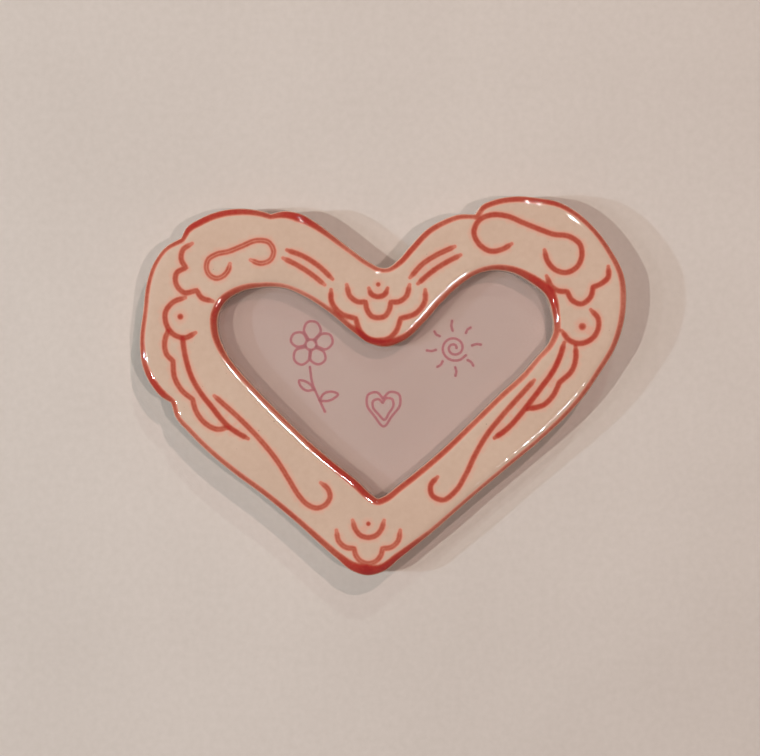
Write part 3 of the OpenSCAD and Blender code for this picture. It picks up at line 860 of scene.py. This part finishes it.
# Pen strokes as places in millimetres: a flower on its stem, a double heart and a coiled sun
petal = [(1.6, -0.9), (4.3, -2.5), (6.7, -0.9), (6.5, 1.5), (4.2, 2.4), (1.7, 1)]
leaf = [(0, 0), (2.2, 1.9), (5.3, 1.8), (7.4, 0), (5, -1.1), (2.3, -1.1), (0.2, -0.2)]
heart_loop = [
    (0, 3.4), (1.9, 5.3), (4.8, 4.6), (5.2, 1.7), (2.6, -2.2), (0.1, -5.3),
    (-2.7, -2.2), (-5.1, 1.6), (-4.7, 4.5), (-2, 5.2), (-0.1, 3.3),
]
eye = [(1.7 * math.cos(t), 1.6 * math.sin(t)) for t in np.arange(0.3, 6.9, 0.5)]
coil = [
    ((0.7 + 0.3 * t) * math.cos(t), (0.6 + 0.3 * t) * math.sin(t))
    for t in np.arange(0, 12.2, 0.6)
]
flower, sun, sweet = (-23, -11.5), (21.5, -12.5), (-0.5, -31.5)
pen_strokes = [
    turned_about(flower, petal, turn, size)
    for turn, size in ((14, 1), (85, 1.06), (157, 0.94), (231, 1.03), (300, 0.97))
]
pen_strokes += [
    turned_about(flower, eye),
    [(-23.3, -18.4), (-22.6, -23), (-20.4, -28.4), (-18.6, -32.2)],
    turned_about((-22.1, -25.4), leaf, 148, 0.72),
    turned_about((-20.2, -28.7), leaf, 18, 0.8),
    turned_about(sweet, heart_loop), turned_about(sweet, heart_loop, 5, 0.62),
    turned_about(sun, coil),
]
for turn, near, far in (
    (8, 5.6, 8.3), (52, 5.9, 8.1), (95, 5.4, 8.4), (141, 5.8, 7.9),
    (186, 5.7, 8.5), (229, 5.5, 7.8), (273, 6, 8.6), (318, 5.6, 8),
):
    beam = [(near, 0), ((near + far) / 2, 0.25), (far, -0.1)]
    pen_strokes.append(turned_about(sun, beam, turn))
pen_lines = [smooth_line(np.array(stroke) * mm, False, pen_step) for stroke in pen_strokes]


def pen(places):
    """How much ink lies at each place: one in a stroke, and more where strokes cross or end."""
    ink = np.zeros(len(places))
    for line in pen_lines:
        near = near_line(line, places, 3 * pen_half)
        off = distance_to(line, False, places[near])[0]
        ink[near] += 1 / (1 + (off / pen_half) ** pen_edge)
        for end in (line[0], line[-1]):
            ink += blot_ink * np.exp(-((off_point(end, places) / blot_r) ** 2))
    return ink


# The card's front is a net as well, fine beside the strokes and loose between
stroke_offsets = [0, 0.16, 0.28, 0.38, 0.52]
card_step, card_apart, card_margin = 3 * mm, 0.09 * mm, 0.5 * mm
card_points = [beside(line, off * mm) for line in pen_lines for off in stroke_offsets]
low_x, low_z = insert_edge.min(0)
high_x, high_z = insert_edge.max(0)
card_points.append(np.array([
    [x, z]
    for x in np.arange(low_x, high_x, card_step) for z in np.arange(low_z, high_z, card_step)
]))
card_points = thinned(np.concatenate(card_points), card_apart)
card_points = card_points[within(drawn_in(insert_edge, card_margin), card_points)]
mould = sheet([insert_edge], card_back, card_front, card_bevel, card_points)
card = mould.piece("felt_pen_card")
corners = np.array(mould.corners)
ink = pen(corners[:, [0, 2]]) * (-corners[:, 1] > card_front - card_bevel / 5)
card.data.attributes.new("ink", "FLOAT", "POINT").data.foreach_set("value", ink)

card_stock, tree = new_finish("card_and_felt_pen")
ink = put(tree, "Attribute", attribute_name="ink").outputs["Fac"]
fibre = noise(tree, 0.6, 6)
stock = ramp(tree, noise(tree, 30, 4), [(0.35, (191, 149, 138)), (0.65, (194, 153, 142))])
stock = toned(tree, stock, fibre, (246, 244, 243))
uneven = between(tree, noise(tree, 0.5, 4), 0.3, 0.7, 0.86, 1.14)
laid = maths(tree, "MULTIPLY", ink, uneven)
pen_colour = ramp(tree, between(tree, laid, 0, 2), [
    (0, (196, 122, 124)), (0.5, (160, 62, 68)), (1, (136, 38, 46)),
])
surfaced(tree, {
    "Base Color": mixed(tree, between(tree, laid, 0.12, 0.75), stock, pen_colour),
    "Roughness": between(tree, laid, 0, 1, 0.85, 0.6),
    "Normal": bumped(tree, fibre, 0.15, 0.03 * mm),
})
card.data.materials.append(card_stock)
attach(card, "frame")
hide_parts("photo_card")

# The filler pad.
# Grey board cut to the rebate. It takes up the play, so that the card stays flat on the pane.
pad_back, pad_bevel = 3.7 * mm, 0.1 * mm
grey_board, tree = new_finish("grey_pulp_board")
pulp = noise(tree, 1.1, 6, 0.6)
shade = ramp(tree, pulp, [
    (0.3, (170, 156, 138)), (0.5, (186, 171, 152)), (0.7, (198, 184, 166)),
])
flecks = masked(tree, specks, Spacing=1.6 * mm, Size=0.2 * mm, Share=0.5)
surfaced(tree, {
    "Base Color": mixed(tree, flecks, shade, colour(120, 106, 92)), "Roughness": 0.9,
    "Normal": bumped(tree, pulp, 0.5, 0.05 * mm),
})
pad = sheet([insert_edge], pad_back, card_back, pad_bevel).piece("filler_board", grey_board)
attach(pad, "frame")
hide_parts("filler_pad")

# The backing board.
# Hardboard cut to the rebate, with a finger notch at the top to lift it out by.
board_bevel = 0.15 * mm
notch_r = 5 * mm
notch_middle = opening_places[0] + [0, rebate_lap - insert_play]


def opened_at_gap(ring):
    """A ring's places in the same order, starting after its widest gap."""
    gaps = np.linalg.norm(np.roll(ring, -1, 0) - ring, axis=1)
    return np.roll(ring, -gaps.argmax() - 1, 0)


kept = opened_at_gap(insert_edge[off_point(notch_middle, insert_edge) > notch_r + hair])
arc = disc(notch_middle, notch_r, 96)
arc = opened_at_gap(arc[within(insert_edge, arc)])
if np.linalg.norm(arc[0] - kept[-1]) > np.linalg.norm(arc[-1] - kept[-1]):
    arc = arc[::-1]
board_edge = np.concatenate([kept, arc])
hardboard, tree = new_finish("brown_hardboard")
pressed = noise(tree, 0.9, 8, 1.2)
shade = ramp(tree, pressed, [
    (0.25, (96, 66, 44)), (0.5, (124, 88, 60)), (0.75, (146, 108, 76)),
])
surfaced(tree, {
    "Base Color": toned(tree, shade, noise(tree, 18), (228, 222, 216)),
    "Roughness": between(tree, pressed, 0.3, 0.7, 0.45, 0.62),
    "Normal": bumped(tree, pressed, 0.4, 0.05 * mm),
})
board = sheet([board_edge], back_at, pad_back, board_bevel).piece("hardboard_back", hardboard)
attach(board, "frame")
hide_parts("back_board")

# The turn buttons.
# Four tabs stamped from zinc-plated steel. Each turns on its screw to hold or free the board.
zinc = bright_metal("zinc_plate", (176, 180, 184), (206, 208, 210), 0.3, 0.48, 1.6, 0.35 * mm)
head_r, tip_r, arm_reach = 3.4 * mm, 2.4 * mm, 7.2 * mm
tab_back, tab_front, tab_bevel = 1.6 * mm, 2.4 * mm, 0.16 * mm
tab_hole_r = 1.48 * mm
lean = math.asin((head_r - tip_r) / arm_reach)
button_edge = np.concatenate([
    head_r * circle(np.linspace(np.pi / 2 - lean, 3 * np.pi / 2 + lean, 40)),
    [arm_reach, 0] + tip_r * circle(np.linspace(lean - np.pi / 2, np.pi / 2 - lean, 28)),
])


def laid_along(points, middle, way):
    """Points drawn along the X axis, turned to lie along a way from a middle."""
    return middle + points[:, :1] * way + points[:, 1:] * left_of(way)


for name, (middle, way) in pivots.items():
    rings = [laid_along(button_edge, middle, way), disc(middle, tab_hole_r)]
    button = sheet(rings, tab_back, tab_front, tab_bevel).piece(f"turn_tab_{name}", zinc)
    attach(button, f"turn_button_{name}")
    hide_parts(f"turn_button_{name}")

# The pivot screws.
# Pan-head steel screws with a cross recess. Each is driven through its tab into a nylon plug.
steel = bright_metal("screw_steel", (184, 184, 182), (214, 213, 210), 0.24, 0.42, 1.2, 0.3 * mm)
pan_r, pan_top, pan_rise = 2.7, 0.3, 0.65
cross_floor, cross_taper = 1, 0.8
thread_core, thread_rise, thread_pitch, thread_step = 1.2, 0.18, 0.9, 0.15
arm = np.array([(0.35, 1.45), (-0.35, 1.45), (-0.35, 0.35)]) * mm
cross = np.concatenate([arm, left_of(arm), -arm, -left_of(arm)])


def dome_height(places, middle):
    """Height of the head's domed face above the wall."""
    off = off_point(middle, places) / (pan_r * mm)
    return pan_top * mm + pan_rise * mm * (1 - np.sqrt(np.clip(1 - off**2, 0, 1)))


# Millimetres of radius and of height above the wall: the head's side, the neck and the tip
pan_side = [(pan_r, 0.95), (pan_r, 1.42), (2.62, 1.5), (1.36, 1.5), (1.36, 1.8)]
thread_from, thread_to = 1.9, 6.5
screw_tip = [(thread_core, 6.6), (0.6, 7.5)]
for name, (middle, way) in pivots.items():
    mould = Mould()
    rings = [(disc(middle, radius * mm), height * mm) for radius, height in pan_side]
    turns = np.arange(48) / 48
    for height in np.arange(thread_from, thread_to, thread_step):
        ridge = np.abs((height / thread_pitch - turns) % 1 * 2 - 1)[:, None]
        round_core = disc(middle, mm) - middle
        rings.append((middle + round_core * (thread_core + thread_rise * ridge), height * mm))
    rings += [(disc(middle, radius * mm), height * mm) for radius, height in screw_tip]
    head, point = mould.loft(rings)
    mould.faces.append(tuple(point))
    mouth = laid_along(cross, middle, way)
    top = mould.add(mouth, dome_height(mouth, middle))
    floor = mould.add(laid_along(cross * cross_taper, middle, way), cross_floor * mm)
    mould.wall(top, floor)
    mould.faces.append(tuple(floor))
    brim = np.concatenate([
        disc(middle, share * pan_r * mm, 24) for share in (0.62, 0.75, 0.86, 0.94, 0.985)
    ])
    mould.web([head, top], mould.add(brim, dome_height(brim, middle)))
    screw = mould.piece(f"pan_screw_{name}", steel, sharp=40)
    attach(screw, "frame")
    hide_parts(f"pivot_screw_{name}")

# The anchor plugs.
# Ribbed nylon plugs, glued in the holes in the clay. The screws cut their own thread in them.
nylon, tree = new_finish("natural_nylon")
milky = noise(tree, 2.5)
surfaced(tree, {
    "Base Color": ramp(tree, milky, [(0.3, (226, 223, 212)), (0.7, (238, 236, 227))]),
    "Roughness": between(tree, milky, 0.3, 0.7, 0.42, 0.55), "Subsurface Weight": 0.1,
    "Subsurface Radius": (0.8 * mm, 0.7 * mm, 0.6 * mm),
    "Normal": bumped(tree, noise(tree, 0.4), 0.2, 0.03 * mm),
})
# Millimetres of radius and of height: up the bore, round the mouth and down past the ribs
bore_r, rib_r, between_r = 1.42, 2.5, 2.36
plug_side = [(bore_r, 8.5), (bore_r, 2.5), (2.2, 2.5), (2.42, 2.6), (rib_r, 2.8)]
for height in np.arange(3.2, 8, 0.8):
    plug_side += [(rib_r, height), (between_r, height + 0.1)]
    plug_side += [(between_r, height + 0.4), (rib_r, height + 0.5)]
plug_side += [(rib_r, 8.2), (2.2, 8.5)]
for name, (middle, way) in pivots.items():
    mould = Mould()
    rings = [(disc(middle, radius * mm), height * mm) for radius, height in plug_side]
    inner, outer = mould.loft(rings)
    mould.wall(outer, inner)
    plug = mould.piece(f"nylon_plug_{name}", nylon)
    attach(plug, "frame")
    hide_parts(f"anchor_plug_{name}")

# The wall.
# Smooth painted steel that the magnets hold to. It can be looked through from behind, and the
# lamps behind it reach the back of the frame through it.
wall_half, wall_gap = 1.6, 0.02 * mm
wall_edge = wall_half * np.array([(-1, -1), (1, -1), (1, 1), (-1, 1)])
mould = Mould()
mould.faces.append(tuple(mould.add(wall_edge, -wall_gap)))
wall = mould.piece("painted_wall")
if wall.data.polygons[0].normal.y > 0:
    wall.data.flip_normals()
wall_paint, tree = new_finish("wall_paint")
broad = ramp(tree, noise(tree, 90), [(0.35, (201, 180, 169)), (0.65, (206, 185, 174))])
paint = put(tree, "BsdfPrincipled", {
    "Base Color": toned(tree, broad, noise(tree, 2.2, 5), (249, 248, 247)), "Roughness": 0.7,
    "Specular IOR Level": 0.25, "Normal": bumped(tree, noise(tree, 0.9), 0.12, 0.08 * mm),
})
# A lamp behind the wall reaches only what the camera sees, so none leaks round to the front, and
# the pieces at the back mirror the room instead of the wall that they touch
close_by = 5 * mm
ray = put(tree, "LightPath").outputs
direct = maths(tree, "LESS_THAN", ray["Ray Depth"], 1.5)
direct = maths(tree, "MULTIPLY", direct, ray["Is Shadow Ray"])
touching = maths(tree, "LESS_THAN", ray["Ray Length"], close_by)
touching = maths(tree, "MULTIPLY", touching, ray["Is Glossy Ray"])
behind = put(tree, "NewGeometry").outputs["Backfacing"]
finished(tree, put(tree, "MixShader", {
    0: maths(tree, "MAXIMUM", maths(tree, "MAXIMUM", behind, direct), touching),
    1: paint.outputs[0], 2: put(tree, "BsdfTransparent").outputs[0],
}))
wall.data.materials.append(wall_paint)

# The lamps.
# Round studio lamps about the frame. Each is given by the way that its shadow falls on the wall,
# and by its share of the light that a clear part of the wall gets.
heart_middle = Vector((-0.6 * mm, 0, -22 * mm))
lamp_away = 1.5


def lamp(
    name, shadow_x, shadow_z, share, size, tint=(1, 1, 1), front=-1, glint=True, lights=True
):
    """A disc lamp whose shadows reach this many times a thing's height to the right and up."""
    way = Vector((-shadow_x, front, -shadow_z)).normalized()
    data = bpy.data.lights.new(name, "AREA")
    data.shape = "DISK"
    data.size = size
    data.color = tint
    data.energy = math.pi**2 * lamp_away**2 * share / abs(way.y)
    made = placed(name, data)
    made.location = heart_middle + way * lamp_away
    made.rotation_mode = "QUATERNION"
    made.rotation_quaternion = way.to_track_quat("Z", "Y")
    made.visible_glossy = glint
    made.visible_transmission = False
    made.visible_diffuse = lights


lamp("lamp_far_left", 1.76, 0.08, 0.135, 0.03, (0.66, 1.02, 1.28))
lamp("lamp_mid_left", 1.18, 0.08, 0.062, 0.03, (0.9, 1.0, 1.1))
lamp("lamp_left", 0.81, 0.065, 0.28, 0.035, (0.88, 1.07, 1.05))
lamp("lamp_high_right", -0.39, -0.68, 0.2, 0.02, (1.09, 0.97, 0.95), glint=False)
lamp("lamp_high", -0.32, -1.35, 0.07, 0.03, (0.8, 1.1, 1.1))
lamp("lamp_right", -0.42, 0.09, 0.223, 0.03, (1.01, 1.0, 0.99), glint=False)
# These give a highlight alone
for name, *given in (
    ("right", -0.49, 0.3, 0.12, 0.06), ("low_right", -0.46, 0.41, 0.12, 0.06),
    ("high_right", -0.43, -0.48, 0.3, 0.08), ("low_left", 0.84, 0.3, 0.12, 0.06),
    ("high", -0.22, -0.78, 0.05, 0.035),
):
    lamp(f"glint_{name}", *given, lights=False)
lamp("lamp_behind_left", 0.7, -0.5, 0.5, 0.5, front=1)
lamp("lamp_behind_right", -0.6, -0.3, 0.25, 0.5, front=1)

# The room.
# A faint even light all round, and a pale tone where a ray looks past the wall's edge.
world = bpy.data.worlds.new("pale_room")
bpy.context.scene.world = world
world.use_nodes = True
tree = world.node_tree
tree.nodes.clear()
ray = put(tree, "LightPath").outputs
seen = maths(tree, "MAXIMUM", ray["Is Camera Ray"], ray["Is Glossy Ray"])
seen = maths(tree, "MAXIMUM", seen, ray["Is Transmission Ray"])
fill = put(tree, "Background", {"Color": (1.0, 0.78, 0.66, 1), "Strength": 0.1})
pale = put(tree, "Background", {"Color": colour(222, 214, 208), "Strength": 1.0})
room = put(tree, "MixShader", {0: seen, 1: fill.outputs[0], 2: pale.outputs[0]})
put(tree, "OutputWorld", {"Surface": room.outputs[0]})

# The camera.
# It looks straight at the wall, a little below and left of the top magnet, from a hand's reach.
picture_w = 233.4 * mm
camera_x, camera_z, camera_away = -1.54 * mm, -21.8 * mm, 450 * mm
outline_at = 9.8 * mm
sensor_w = 36
camera_data = bpy.data.cameras.new("camera")
camera_data.sensor_width = sensor_w
camera_data.lens = sensor_w * (camera_away - outline_at) / picture_w
camera_data.clip_start, camera_data.clip_end = 0.02, 20
camera = placed("camera", camera_data)
bpy.context.scene.camera = camera
camera.location = (camera_x, -camera_away, camera_z)
camera.rotation_euler = (math.pi / 2, 0, 0)
bpy.context.scene.view_settings.view_transform = "Standard"
